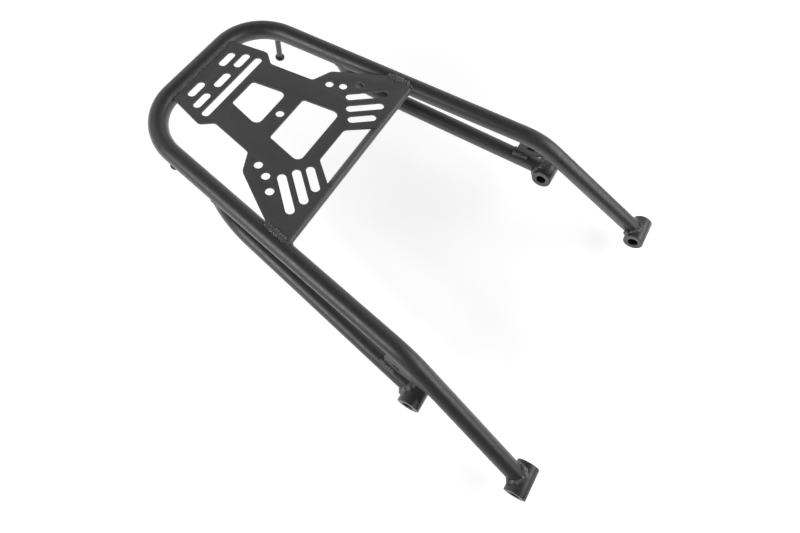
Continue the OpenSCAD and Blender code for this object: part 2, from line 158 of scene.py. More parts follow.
# Where the plate's and the gussets' beads lie
REAR_BEAD_SHORT = 0.5 * MM
REAR_BEAD_BEHIND = 0.1 * MM
REAR_BEAD_ABOVE = 0.4 * MM
REAR_BEAD_OUT = Vector((0, -0.55, 0.84)).normalized()
REAR_BEAD_FLAT = 0.9
WING_BEAD_SHORT = 1 * MM
WING_BEAD_OUTWARD = 1.0 * MM
WING_BEAD_LEAN = 0.12
WING_BEAD_FLAT = 0.75
GUSSET_BEAD_REAR_SHORT = 2 * MM
GUSSET_BEAD_FRONT_SHORT = 1 * MM
GUSSET_BEAD_OUTWARD = 1.3 * MM

# How far and how finely the beads' skins are roughened
REAR_BEAD_ROUGH = (0.35 * MM, 380)
WING_BEAD_ROUGH = (0.4 * MM, 520)
GUSSET_BEAD_ROUGH = (0.35 * MM, 330)
RING_BEAD_ROUGH_SHARE = 0.34
RING_BEAD_ROUGH_SCALE = 430

# Coats: the colour setting, its shade, how much rougher than the tubes, the depth of the
# grain and of the orange peel, how much brighter the specks are, and the gloss
Coat = namedtuple("Coat", "colour shade rougher grain_depth peel_depth specks gloss")
COATS = {
    "tube_coat": Coat("tube_colour", 1.0, 0.0, 0.85, 0.40, 1.1, 0.65),
    # The plate coat is a lighter copy of the black coat: painted light on plate and gussets
    "plate_coat": Coat("plate_colour", 1.0, 0.15, 0.45, 0.12, 0.5, 0.4),
    # The bead coat is a lighter copy of the black coat: painted light on the weld beads
    "bead_coat": Coat("bead_colour", 1.0, -0.02, 0.85, 0.60, 1.3, 0.6),
    # The bore coat is painted shade for the bolt tubes' bores and the gusset slots
    "bore_coat": Coat("bore_colour", 1.0, 0.30, 0.4, 0.2, 0.3, 0.1),
    # The bar coat is a still lighter copy: a painted highlight along the crossbar
    "bar_coat": Coat("plate_colour", 1.6, 0.0, 0.6, 0.3, 0.8, 0.5),
}
GRAINS_PER_PEEL = 9
PATCH = 60 * MM
PEEL_HEIGHT = 0.12 * MM
GRAIN_HEIGHT = 0.06 * MM
SPECK_BAND = (0.52, 0.72)
PATCH_BAND = (0.35, 0.65)
PEEL_BAND = (0.3, 0.7)
BETWEEN_SPECKS = 0.88
PATCH_SHADE = 1.06
ROUGHER_PEEL = (-0.05, 0.06)

# Stage: lamps by name, azimuth and elevation in degrees, size in metres and brightness
LAMPS = (
    ("left_softbox", 158, 25, (0.9, 0.6), 5.8),
    ("front_softbox", 295, 30, (1.2, 0.6), 3.9),
    ("side_softbox", 8, 24, (1.7, 0.9), 0.85),
    ("rear_softbox", 88, 26, (1.6, 0.9), 0.8),
)
LAMP_TARGET = Vector((0, -0.1, 0))
LAMP_DISTANCE = 1.2
ROOM_LIGHT = 0.1
ROOM_GLOSS = 0.15
FLOOR_HALF = 6
FLOOR_DROP = 0.02
GLOW_REACH = (0.35, 0.9)
GLOW = (0.5, 1.0)
GLOSS_HEADING = (0.9, 0.4, 0)
GLOSS_REACH = (-0.42, -0.18)
GLOSS_GLOW = (0.1, 1.0)
CAMERA_RIGHT = Vector((0.51694, -0.84950, 0.10548))
CAMERA_UP = Vector((0.77156, 0.51576, 0.37240))
CAMERA_BACK = Vector((-0.37075, -0.11113, 0.92206))
CAMERA_AT = Vector((-0.24286, -0.23148, 0.42632))
CAMERA_LENS = 23.708


class RackSizes(bpy.types.PropertyGroup):
    tube_sides: bpy.props.IntProperty(
        name="Tube sides", description="Faces around each tube", default=72, min=24, max=128)
    bend_step: bpy.props.FloatProperty(
        name="Bend step", description="Largest turn from one ring of a bend to the next",
        default=math.radians(2.5), subtype="ANGLE")
    plate_edge: bpy.props.FloatProperty(
        name="Plate edge",
        description="Rounding of the cut edges of plate and gussets under the coat",
        default=0.4 * MM, subtype="DISTANCE", unit="LENGTH", precision=5)
    lug_edge: bpy.props.FloatProperty(
        name="Bolt tube edge", description="Rounding at the outer edges of the bolt tubes",
        default=0.7 * MM, subtype="DISTANCE", unit="LENGTH", precision=5)
    bead: bpy.props.FloatProperty(
        name="Bead", description="Radius of the larger weld beads",
        default=2.6 * MM, subtype="DISTANCE", unit="LENGTH", precision=5)
    fine_bead: bpy.props.FloatProperty(
        name="Fine bead", description="Radius of the fine weld beads",
        default=1.5 * MM, subtype="DISTANCE", unit="LENGTH", precision=5)
    ripple: bpy.props.FloatProperty(
        name="Ripple", description="Length of one ripple along a weld bead",
        default=2.4 * MM, subtype="DISTANCE", unit="LENGTH", precision=5)


class RackFinish(bpy.types.PropertyGroup):
    tube_colour: bpy.props.FloatVectorProperty(
        name="Tube coat", description="Colour of the powder coat on the tubes",
        default=(0.022, 0.022, 0.0225), subtype="COLOR", size=3, min=0, max=1)
    # Painted light: the plate and gussets wear the tubes' black coat, made lighter for the light
    # on the flat sheets
    plate_colour: bpy.props.FloatVectorProperty(
        name="Plate coat", description="Colour of the powder coat on the plate",
        default=(0.054, 0.054, 0.055), subtype="COLOR", size=3, min=0, max=1)
    # Painted light: the beads wear the black coat, made lighter for the light their lumpy skin
    # catches
    bead_colour: bpy.props.FloatVectorProperty(
        name="Bead coat", description="Colour of the powder coat on the weld beads",
        default=(0.060, 0.060, 0.061), subtype="COLOR", size=3, min=0, max=1)
    # Painted shade: the bores and slot walls get a near-black copy of the coat for the shade in
    # these recesses
    bore_colour: bpy.props.FloatVectorProperty(
        name="Bore", description="Colour inside the bolt tubes",
        default=(0.004, 0.004, 0.004), subtype="COLOR", size=3, min=0, max=1)
    floor_colour: bpy.props.FloatVectorProperty(
        name="Floor", description="Colour of the floor",
        default=(0.72, 0.72, 0.72), subtype="COLOR", size=3, min=0, max=1)
    grain: bpy.props.FloatProperty(
        name="Grain", description="Size of the coat's fine grain",
        default=0.6 * MM, subtype="DISTANCE", unit="LENGTH", precision=5)
    roughness: bpy.props.FloatProperty(
        name="Roughness", description="Roughness of the coat on the tubes",
        default=0.40, min=0, max=1, subtype="FACTOR")


# Centrelines of the tubes
def side_point(y):
    """The point of the right side tube's centreline at y."""
    share = (y - REAR_CORNER.y) / (FRONT_CORNER.y - REAR_CORNER.y)
    return REAR_CORNER.lerp(FRONT_CORNER, share)


def mirrored(point, side):
    """A point or direction of the right side, on the side asked for: 1 is right, -1 left."""
    return Vector((side * point.x, point.y, point.z))


def bent_path(points, radii, step):
    """Points and directions along a bent centreline."""
    path = [(points[0], (points[1] - points[0]).normalized())]
    heading = path[0][1]
    for before, corner, after, radius in zip(points, points[1:], points[2:], radii):
        heading = (corner - before).normalized()
        leaving = (after - corner).normalized()
        turn = heading.angle(leaving)
        axis = heading.cross(leaving).normalized()
        start = corner - heading * radius * math.tan(turn / 2)
        centre = start + axis.cross(heading) * radius
        steps = max(2, math.ceil(turn / step))
        for i in range(steps + 1):
            turned = Matrix.Rotation(turn * i / steps, 3, axis)
            path.append((centre + turned @ (start - centre), turned @ heading))
        heading = leaving
    path.append((points[-1], heading))
    return path


def frames_along(path):
    """A placement at each point of a path, with Z along it and as little twist as can be."""
    frames = []
    side = path[0][1].orthogonal().normalized()
    for at, heading in path:
        side = (side - heading * side.dot(heading)).normalized()
        frames.append(placed(side, heading.cross(side), heading, at))
    return frames


def placed(x, y, z, at):
    """A placement at a point, with the given axes."""
    turn = Matrix((x, y, z)).transposed()
    return Matrix.Translation(at) @ turn.to_4x4()


def loop_path(step):
    """The loop tube's centreline, from the left front bolt tube to the right one."""
    left = [mirrored(p, -1) for p in (FRONT_LUG, FRONT_CORNER, REAR_CORNER)]
    points = left + [REAR_CORNER, FRONT_CORNER, FRONT_LUG]
    return bent_path(points, [FRONT_BEND_R, REAR_BEND_R, REAR_BEND_R, FRONT_BEND_R], step)


def strut_path(side, step):
    """A strut's centreline, from the loop down to the rear bolt tube."""
    root = side_point(STRUT_ROOT_Y)
    turn_point = root + STRUT_TURN
    fall = STRUT_TURN.normalized()
    line = (REAR_LUG - turn_point).normalized()
    radius = STRUT_TURN.length / math.tan(fall.angle(line) / 2)
    points = [mirrored(p, side) for p in (root, turn_point, REAR_LUG)]
    return bent_path(points, [radius * STRUT_SEAT_SHARE], step)


def pin_root():
    """Where a hook pin meets the centreline of the right rear bend."""
    along = (REAR_CORNER - FRONT_CORNER).normalized()
    across = Vector((-1, 0, 0))
    turn = along.angle(across)
    inward = (across - along * along.dot(across)).normalized()
    start = REAR_CORNER - along * REAR_BEND_R * math.tan(turn / 2)
    return (start + inward * REAR_BEND_R * (1 - math.cos(PIN_ANGLE))
            + along * REAR_BEND_R * math.sin(PIN_ANGLE))


# Meshes shaped from rings, lines and profiles
def ring_edges(verts):
    """The edges between the given corners."""
    inside = set(verts)
    return [e for e in {e for v in verts for e in v.link_edges} if set(e.verts) <= inside]


def sweep(bm, frames, radii, sides, closed=False):
    """A round bar through the frames. Returns the corners of each ring."""
    grow = Matrix.Diagonal((radii[0], radii[0], 1, 1))
    rings = [bmesh.ops.create_circle(
        bm, cap_ends=False, radius=1, segments=sides, matrix=frames[0] @ grow)["verts"]]
    edges = ring_edges(rings[0])
    first = edges
    last = frames[0] @ grow
    for at, radius in zip(frames[1:], radii[1:]):
        here = at @ Matrix.Diagonal((radius, radius, 1, 1))
        grown = bmesh.ops.extrude_edge_only(bm, edges=edges)["geom"]
        ring = [g for g in grown if isinstance(g, bmesh.types.BMVert)]
        edges = ring_edges(ring)
        bmesh.ops.transform(bm, matrix=here @ last.inverted(), verts=ring)
        rings.append(ring)
        last = here
    if closed:
        bmesh.ops.bridge_loops(bm, edges=first + edges)
    else:
        for loop in (first, edges):
            cap = bmesh.ops.contextual_create(bm, geom=loop)["faces"]
            bmesh.ops.poke(bm, faces=cap)
    return rings


def lathe(bm, profile, matrix, sides):
    """A closed round body from a profile of distances from the axis and heights along it."""
    verts = [bm.verts.new((r, 0, h)) for r, h in profile]
    edges = [bm.edges.new(pair) for pair in zip(verts, verts[1:])]
    if profile[0][0] > 0:
        edges.append(bm.edges.new((verts[-1], verts[0])))
    bmesh.ops.spin(
        bm, geom=verts + edges, cent=(0, 0, 0), axis=(0, 0, 1), dvec=(0, 0, 0),
        angle=math.tau, steps=sides, use_merge=True)
    bmesh.ops.remove_doubles(bm, verts=bm.verts, dist=SAME_CORNER)
    bmesh.ops.transform(bm, matrix=matrix, verts=bm.verts)


def finish_mesh(bm, name, sharp=SHARP_TUBE):
    """Turns faces outward, smooths the round ones and makes the object."""
    bmesh.ops.recalc_face_normals(bm, faces=bm.faces)
    for face in bm.faces:
        face.smooth = True
    for edge in bm.edges:
        edge.smooth = edge.calc_face_angle(0) < sharp
    mesh = bpy.data.meshes.new(name)
    bm.to_mesh(mesh)
    bm.free()
    piece = bpy.data.objects.new(name, mesh)
    bpy.context.scene.collection.objects.link(piece)
    return piece


def fit_piece(piece, node, slot, *names):
    """Puts a finished piece on the rack in place of its solid, with the named coats."""
    for name in names:
        piece.data.materials.append(coat(name))
    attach(piece, "root")
    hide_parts(node)


def distance_to_line(point, at, heading):
    """How far a point is from a straight line."""
    return (point - at).cross(heading).length


def clear_of_tube(at, heading, radius):
    """A test that is positive outside a straight tube."""
    return lambda p: distance_to_line(p, at, heading) - radius


def clear_of_path(points, radius):
    """A test that is positive outside a bent tube along the points."""
    def clear(p):
        gaps = []
        for a, b in zip(points, points[1:]):
            run = b - a
            share = min(1.0, max(0.0, (p - a).dot(run) / run.length_squared))
            gaps.append((p - a - run * share).length)
        return min(gaps) - radius
    return clear


def skin_between(clear, inside, outside):
    """The point of a tube's skin between a point inside it and one outside."""
    for _ in range(HALVINGS):
        middle = (inside + outside) / 2
        inside, outside = (inside, middle) if clear(middle) > 0 else (middle, outside)
    return inside


def seam(frames, radius, clear, count):
    """The closed line where the skin of a swept bar enters another piece."""
    line = []
    for i in range(count):
        angle = math.tau * i / count
        spot = Vector((radius * math.cos(angle), radius * math.sin(angle), 0))
        skin = [f @ spot for f in frames]
        for a, b in zip(skin, skin[1:]):
            if (clear(a) > 0) != (clear(b) > 0):
                outer, inner = (a, b) if clear(a) > 0 else (b, a)
                skin_out = (frames[0].to_3x3() @ spot).normalized()
                line.append((skin_between(clear, inner, outer), skin_out))
                break
    return line


def slope(clear, point):
    """The direction in which a clearance grows fastest."""
    step = 0.01 * MM
    axes = (Vector((step, 0, 0)), Vector((0, step, 0)), Vector((0, 0, step)))
    return Vector([clear(point + a) - clear(point - a) for a in axes]).normalized()


def lump(point, scale):
    """Smooth noise from about -1 to 1."""
    return noise.fractal(point * scale, 1.0, 2.0, 2)


def bead_sizes(kind):
    """The radius and the ripple length of a kind of bead."""
    sizes, bead = bpy.context.scene.rack_sizes, BEADS[kind]
    return (sizes.fine_bead if bead.fine else sizes.bead) * bead.size, sizes.ripple * bead.ripple


def weld_bead(bm, line, outs, kind, closed, seed, flat=1.0):
    """A rippled bead along a line, raised towards the given directions."""
    radius, ripple = bead_sizes(kind)
    lumps, rise = BEADS[kind].lumps, BEADS[kind].rise
    count = len(line)
    headings = []
    for i in range(count):
        before = line[i - 1] if closed or i else line[0]
        after = line[(i + 1) % count] if closed or i < count - 1 else line[-1]
        headings.append((after - before).normalized())
    frames, radii, travel = [], [], 0.0
    for i, (at, out, heading) in enumerate(zip(line, outs, headings)):
        out = (out - heading * out.dot(heading)).normalized()
        across = heading.cross(out)
        travel += (at - line[i - 1]).length if i else 0
        drift = DRIFT * lump(at + Vector((seed, 0, 0)), DRIFT_SCALE)
        wave = math.cos(math.tau * travel / ripple + drift)
        size = 1 + rise * wave + lumps * lump(at + Vector((0, seed, 0)), LUMP_SCALE)
        if not closed:
            from_end = min(i, count - 1 - i) / END_RINGS
            size *= min(1.0, END_SIZE + (1 - END_SIZE) * from_end)
        tilt = Matrix.Rotation(BEAD_TILT, 4, "Y")
        here = placed(out, across, heading, at - out * radius * BEAD_SINK)
        frames.append(here @ tilt @ Matrix.Diagonal((flat, 1, 1, 1)))
        radii.append(BEAD_SPREAD * radius * size)
    sweep(bm, frames, radii, BEAD_SIDES, closed=closed)


def roughen(bm, amount, scale, seed):
    """Moves each corner a little along its normal."""
    bm.normal_update()
    shift = Vector((seed, -seed, seed))
    for v in bm.verts:
        v.co += v.normal * amount * lump(v.co + shift, scale)


def resampled(points, step):
    """A line with one point every step."""
    line = [points[0].copy()]
    for a, b in zip(points, points[1:]):
        pieces = max(1, round((b - a).length / step))
        line += [a.lerp(b, (i + 1) / pieces) for i in range(pieces)]
    return line


# Coats of powder on tubes, plate, beads and bores, with painted light on plate, crossbar and beads
# and painted shade in the bores
class Nodes:
    """Short names for building the nodes of a material or a world."""

    def __init__(self, owner):
        owner.use_nodes = True
        self.tree = owner.node_tree
        self.shader = self.tree.nodes.get("Principled BSDF")
        self.place = self.add("ShaderNodeTexCoord").outputs["Object"]

    def add(self, kind, **values):
        node = self.tree.nodes.new(kind)
        for name, value in values.items():
            setattr(node, name, value)
        return node

    def link(self, out, into):
        self.tree.links.new(out, into)

    def noise(self, size, detail, roughness):
        node = self.add("ShaderNodeTexNoise")
        node.inputs["Scale"].default_value = 1 / size
        node.inputs["Detail"].default_value = detail
        node.inputs["Roughness"].default_value = roughness
        self.link(self.place, node.inputs["Vector"])
        return node.outputs["Fac"]

    def band(self, source, low, high, to_low, to_high):
        node = self.add("ShaderNodeMapRange")
        for name, value in zip(("From Min", "From Max", "To Min", "To Max"),
                               (low, high, to_low, to_high)):
            node.inputs[name].default_value = value
        self.link(source, node.inputs["Value"])
        return node.outputs["Result"]

    def mix(self, share, first, second):
        node = self.add("ShaderNodeMix", data_type="RGBA")
        self.link(share, node.inputs["Factor"])
        for socket, value in ((node.inputs["A"], first), (node.inputs["B"], second)):
            if isinstance(value, bpy.types.NodeSocket):
                self.link(value, socket)
            else:
                socket.default_value = (*value, 1)
        return node.outputs["Result"]

    def add_up(self, first, second):
        node = self.add("ShaderNodeMath", operation="ADD")
        self.link(first, node.inputs[0])
        self.link(second, node.inputs[1])
        return node.outputs["Value"]

    def bump(self, height, distance, strength, before=None):
        node = self.add("ShaderNodeBump")
        node.inputs["Distance"].default_value = distance
        node.inputs["Strength"].default_value = strength
        self.link(height, node.inputs["Height"])
        if before is not None:
            self.link(before, node.inputs["Normal"])
        return node.outputs["Normal"]


def scaled(colour, factor):
    """A colour made darker or lighter, up to white."""
    return tuple(min(1.0, c * factor) for c in colour)


def coat(name):
    """Black powder coat: fine grain over a soft orange peel, with brighter specks of powder."""
    if name in bpy.data.materials:
        return bpy.data.materials[name]
    finish, kind = bpy.context.scene.rack_finish, COATS[name]
    # The colour setting and its shade factor carry painted light for the plate, bar and bead coats
    # and painted shade for the bore coat
    colour = scaled(getattr(finish, kind.colour), kind.shade)
    roughness = finish.roughness + kind.rougher
    material = bpy.data.materials.new(name)
    n = Nodes(material)
    grains = n.noise(finish.grain, 2.0, 0.6)
    peel = n.noise(GRAINS_PER_PEEL * finish.grain, 2.0, 0.5)
    patches = n.noise(PATCH, 3.0, 0.6)
    specks = n.band(grains, *SPECK_BAND, 0.0, 1.0)
    tint = n.mix(specks, scaled(colour, BETWEEN_SPECKS), scaled(colour, 1 + kind.specks))
    soft = n.band(patches, *PATCH_BAND, 0.0, 1.0)
    n.link(n.mix(soft, tint, scaled(colour, PATCH_SHADE)), n.shader.inputs["Base Color"])
    rough = n.band(peel, *PEEL_BAND, *(roughness + more for more in ROUGHER_PEEL))
    n.link(rough, n.shader.inputs["Roughness"])
    normal = n.bump(peel, PEEL_HEIGHT, kind.peel_depth)
    n.link(n.bump(grains, GRAIN_HEIGHT, kind.grain_depth, normal), n.shader.inputs["Normal"])
    n.shader.inputs["Specular IOR Level"].default_value = kind.gloss
    return material


# Operators, one for each kind of piece
class RackOperator:
    """What the rack's operators share."""

    bl_options = {"REGISTER", "UNDO"}

    @property
    def sizes(self):
        return bpy.context.scene.rack_sizes


def seat_on_lug(ring, heading, lug):
    """Moves a tube's last ring along the tube until it sits on a bolt tube."""
    wanted = LUG_R - SEAT_DEPTH
    for v in ring:
        # Solve for the travel along the tube that brings the corner to the bolt tube's skin
        gap = Vector((0, v.co.y - lug.y, v.co.z - lug.z))
        run = Vector((0, heading.y, heading.z))
        a, b, c = run.dot(run), 2 * gap.dot(run), gap.dot(gap) - wanted * wanted
        v.co += heading * ((-b - math.sqrt(max(0.0, b * b - 4 * a * c))) / (2 * a))


class RACK_OT_loop_tube(RackOperator, bpy.types.Operator):
    """Sweep the bent loop tube and cope its ends onto the front bolt tubes"""

    bl_idname = "rack.loop_tube"
    bl_label = "Loop tube"

    def execute(self, context):
        bm = bmesh.new()
        path = loop_path(self.sizes.bend_step)
        rings = sweep(bm, frames_along(path), [TUBE_R] * len(path), self.sizes.tube_sides)
        seat_on_lug(rings[0], -path[0][1], mirrored(FRONT_LUG, -1))
        seat_on_lug(rings[-1], path[-1][1], FRONT_LUG)
        piece = finish_mesh(bm, "loop_tube")
        fit_piece(piece, "main_loop_tube", "powder_coated_tube", "tube_coat")
        return {"FINISHED"}


class RACK_OT_struts(RackOperator, bpy.types.Operator):
    """Sweep the two struts from the loop to the rear bolt tubes"""

    bl_idname = "rack.struts"
    bl_label = "Struts"

    def execute(self, context):
        for name, side in SIDES:
            bm = bmesh.new()
            path = strut_path(side, self.sizes.bend_step)
            rings = sweep(bm, frames_along(path), [STRUT_R] * len(path), self.sizes.tube_sides)
            seat_on_lug(rings[-1], path[-1][1], mirrored(REAR_LUG, side))
            piece = finish_mesh(bm, f"{name}_strut_tube")
            fit_piece(piece, f"{name}_strut", "powder_coated_tube", "tube_coat")
        return {"FINISHED"}


class RACK_OT_crossbar(RackOperator, bpy.types.Operator):
    """Set the round bar below the plate's front edge between the side tubes"""

    bl_idname = "rack.crossbar"
    bl_label = "Crossbar"

    def execute(self, context):
        bm = bmesh.new()
        end = side_point(CROSSBAR_Y).x - CROSSBAR_SHORT
        points = [Vector((x, CROSSBAR_Y, CROSSBAR_Z)) for x in (-end, end)]
        path = [(p, Vector((1, 0, 0))) for p in resampled(points, CROSSBAR_RING_GAP)]
        sweep(bm, frames_along(path), [CROSSBAR_R] * len(path), BAR_SIDES)
        piece = finish_mesh(bm, "round_crossbar")
        # The crossbar's lighter coat is a painted highlight
        fit_piece(piece, "crossbar", "powder_coated_tube", "bar_coat")
        return {"FINISHED"}


def cut_sheet(node, name):
    """A sheet with the outline of its solid, and soft edges under the coat."""
    bm = bmesh.new()
    bm.from_mesh(frame["nodes"][node].data)
    bmesh.ops.remove_doubles(bm, verts=bm.verts, dist=SAME_SHEET_CORNER)
    bmesh.ops.dissolve_limit(
        bm, angle_limit=SAME_FACE, verts=bm.verts, edges=bm.edges, delimit={"NORMAL"})
    bmesh.ops.recalc_face_normals(bm, faces=bm.faces)
    sharp = [e for e in bm.edges if e.calc_face_angle(0) > SHEET_EDGE]
    bmesh.ops.bevel(
        bm, geom=sharp, offset=bpy.context.scene.rack_sizes.plate_edge, offset_type="OFFSET",
        affect="EDGES", segments=2, profile=0.5, clamp_overlap=True, material=-1)
    return finish_mesh(bm, name, SHARP_SHEET)


class RACK_OT_plate(RackOperator, bpy.types.Operator):
    """Lay the slotted plate with softened edges"""

    bl_idname = "rack.plate"
    bl_label = "Slotted plate"

    def execute(self, context):
        piece = cut_sheet("top_plate", "slotted_plate")
        fit_piece(piece, "top_plate", "powder_coated_plate", "plate_coat")
        return {"FINISHED"}


class RACK_OT_bolt_tubes(RackOperator, bpy.types.Operator):
    """Turn the four bolt tubes with soft outer edges and chamfered bores"""

    bl_idname = "rack.bolt_tubes"
    bl_label = "Bolt tubes"

    def execute(self, context):
        half, edge = LUG_LENGTH / 2, self.sizes.lug_edge
        corner = [(LUG_R - edge * (1 - math.sin(a)), half - edge * (1 - math.cos(a)))
                  for a in (math.pi / 2 * i / CORNER_STEPS for i in range(CORNER_STEPS + 1))]
        top = [(BORE_R, half - BORE_CHAMFER), (BORE_R + BORE_CHAMFER, half)] + corner
        profile = top + [(r, -h) for r, h in reversed(top)]
        for end, lug in (("front", FRONT_LUG), ("rear", REAR_LUG)):
            for name, side in SIDES:
                bm = bmesh.new()
                centre = mirrored(lug, side)
                turn = Matrix.Rotation(math.radians(90), 4, "Y")
                lathe(bm, profile, Matrix.Translation(centre) @ turn, LUG_SIDES)
                piece = finish_mesh(bm, f"{end}_{name}_bush", SHARP_LUG)
                fit_piece(piece, f"{end}_{name}_bolt_tube", "powder_coated_tube",
                          "tube_coat", "bore_coat")
                # Faces inside the bore take the near-black coat: painted shade
                for face in piece.data.polygons:
                    if distance_to_line(face.center, centre, Vector((1, 0, 0))) < BORE_R:
                        face.material_index = 1
        return {"FINISHED"}


class RACK_OT_gussets(RackOperator, bpy.types.Operator):
    """Set the two gusset sheets between loop and struts, with painted shade on the slot walls"""

    bl_idname = "rack.gussets"
    bl_label = "Gussets"

    def execute(self, context):
        _, heading = strut_path(1, self.sizes.bend_step)[-2]
        across = Vector((-heading.y, heading.x, 0)).normalized()
        for name, side in SIDES:
            piece = cut_sheet(f"{name}_gusset", f"{name}_gusset_sheet")
            fit_piece(piece, f"{name}_gusset", "powder_coated_plate", "plate_coat", "bore_coat")
            face_out = mirrored(across, side)
            # The slot's walls take the near-black coat: painted shade in the slot
            for face in piece.data.polygons:
                near = (face.center - mirrored(GUSSET_SLOT, side)).length < GUSSET_SLOT_REACH
                if near and abs(face.normal.dot(face_out)) < SLOT_WALL_TILT:
                    face.material_index = 1
        return {"FINISHED"}


class RACK_OT_hook_pins(RackOperator, bpy.types.Operator):
    """Turn the two hook pins with their flat round heads"""

    bl_idname = "rack.hook_pins"
    bl_label = "Hook pins"

    def execute(self, context):
        top = PIN_REACH - TUBE_R + PIN_SINK
        edge, eased = PIN_EDGE, 0.3 * PIN_EDGE
        profile = [(0, 0), (PIN_HEAD_R - edge, 0), (PIN_HEAD_R - eased, eased),
                   (PIN_HEAD_R, edge), (PIN_HEAD_R, PIN_HEAD_T - edge),
                   (PIN_HEAD_R - eased, PIN_HEAD_T - eased),
                   (PIN_HEAD_R - edge, PIN_HEAD_T), (PIN_R + edge, PIN_HEAD_T),
                   (PIN_R, PIN_HEAD_T + edge), (PIN_R, top), (0, top)]
        for name, side in SIDES:
            bm = bmesh.new()
            at = mirrored(pin_root(), side) - Vector((0, 0, PIN_REACH))
            lathe(bm, profile, Matrix.Translation(at), BAR_SIDES)
            piece = finish_mesh(bm, f"{name}_pin")
            fit_piece(piece, f"{name}_hook_pin", "powder_coated_tube", "tube_coat")
        return {"FINISHED"}


class RACK_OT_plate_beads(RackOperator, bpy.types.Operator):
    """Run the weld beads between the plate and the loop"""

    bl_idname = "rack.plate_beads"
    bl_label = "Plate beads"

    def execute(self, context):
        self.rear_bead()
        for name, side in SIDES:
            self.wing_bead(name, side)
        return {"FINISHED"}

    def rear_bead(self):
        """The thin bead along the plate's rear edge."""
        half, y = PLATE_REAR_HALF - REAR_BEAD_SHORT, PLATE_REAR_Y + REAR_BEAD_BEHIND
        ends = [Vector((x, y, REAR_BEAD_ABOVE)) for x in (-half, half)]
        line = resampled(ends, self.sizes.ripple / RINGS_PER_RIPPLE)
        bm = bmesh.new()
        weld_bead(bm, line, [REAR_BEAD_OUT] * len(line), "plate_rear", False, 0.3, REAR_BEAD_FLAT)
        roughen(bm, *REAR_BEAD_ROUGH, 0.0)
        piece = finish_mesh(bm, "plate_rear_bead")
        fit_piece(piece, "plate_rear_weld", "coated_weld", "bead_coat")

    def wing_bead(self, name, side):
        """The wide bead along a wing's outer edge."""
        ends = []
        for y in (WING_REAR_Y + WING_BEAD_SHORT, PLATE_FRONT_Y + WING_BEAD_SHORT):
            x = side_point(y).x - WING_INSET + WING_BEAD_OUTWARD
            ends.append(mirrored(Vector((x, y, 0)), side))
        line = resampled(ends, self.sizes.ripple / RINGS_PER_RIPPLE)
        out = Vector((WING_BEAD_LEAN * side, 0, 1)).normalized()
        bm = bmesh.new()
        weld_bead(bm, line, [out] * len(line), "wing", False, 0.7 + side, WING_BEAD_FLAT)
        roughen(bm, *WING_BEAD_ROUGH, 0.0)
        piece = finish_mesh(bm, f"plate_{name}_bead")
        fit_piece(piece, f"plate_{name}_weld", "coated_weld", "bead_coat")


def ring_bead(name, node, frames, radius, clear, kind, seed):
    """A closed bead round a bar's end on another piece."""
    size, ripple = bead_sizes(kind)
    count = max(FEWEST_RINGS, round(math.tau * radius / (ripple / RINGS_PER_RIPPLE)))
    found = seam(frames, radius, clear, count)
    if len(found) < count:
        raise RuntimeError(f"{name}: the bar's skin doesn't meet the other piece all round")
    line = [p for p, _ in found]
    outs = [(skin + slope(clear, p)).normalized() for p, skin in found]
    bm = bmesh.new()
    weld_bead(bm, line, outs, kind, True, seed)
    roughen(bm, RING_BEAD_ROUGH_SHARE * size, RING_BEAD_ROUGH_SCALE, seed)
    fit_piece(finish_mesh(bm, name), node, "coated_weld", "bead_coat")


class RACK_OT_tube_beads(RackOperator, bpy.types.Operator):
    """Run the ring beads at tube ends, strut roots, crossbar ends and hook pins"""

    bl_idname = "rack.tube_beads"
    bl_label = "Tube beads"

    def execute(self, context):
        for name, side in SIDES:
            seed = 2.0 + side
            self.bead_on_lug(f"front_{name}", "front_tube", self.front_end(side),
                             TUBE_R, mirrored(FRONT_LUG, side), seed)
            path = strut_path(side, self.sizes.bend_step)
            self.bead_on_lug(f"rear_{name}", "rear_tube", frames_along(path[-2:]),
                             STRUT_R, mirrored(REAR_LUG, side), seed + 5)
            rear, front = mirrored(REAR_CORNER, side), mirrored(FRONT_CORNER, side)
            side_tube = clear_of_tube(rear, (front - rear).normalized(), TUBE_R)
            ring_bead(f"{name}_strut_bead", f"{name}_strut_weld", frames_along(path[:-1]),
                      STRUT_R, side_tube, "strut", seed + 9)
            ends = [Vector((side * x, CROSSBAR_Y, CROSSBAR_Z))
                    for x in (CROSSBAR_END_FROM, side_point(CROSSBAR_Y).x)]
            ring_bead(f"crossbar_{name}_bead", f"crossbar_{name}_weld",
                      frames_along([(p, Vector((side, 0, 0))) for p in ends]),
                      CROSSBAR_R, side_tube, "crossbar", seed + 12)
            self.pin_bead(name, side, seed + 15)
        return {"FINISHED"}

    def front_end(self, side):
        """The straight front run of the loop tube."""
        corner, lug = mirrored(FRONT_CORNER, side), mirrored(FRONT_LUG, side)
        return frames_along([(p, (lug - corner).normalized()) for p in (corner, lug)])

    def bead_on_lug(self, place, kind, frames, radius, lug, seed):
        """The bead between a tube's end and its bolt tube."""
        ring_bead(f"{place}_bead", f"{place}_tube_weld", frames, radius,
                  clear_of_tube(lug, Vector((1, 0, 0)), LUG_R), kind, seed)

    def pin_bead(self, name, side, seed):
        """The bead round a hook pin's root on the rear bend."""
        root = mirrored(pin_root(), side)
        down = Vector((0, 0, -1))
        frames = frames_along([(root + down * d, down) for d in (0.0, 1.5 * TUBE_R)])
        path = [p for p, _ in loop_path(self.sizes.bend_step)]
        near = sorted(path, key=lambda p: (p - root).length)[:2]
        clear = clear_of_tube(root, (near[0] - near[1]).normalized(), TUBE_R)
        ring_bead(f"{name}_pin_bead", f"{name}_pin_weld", frames, PIN_R, clear, "pin", seed)


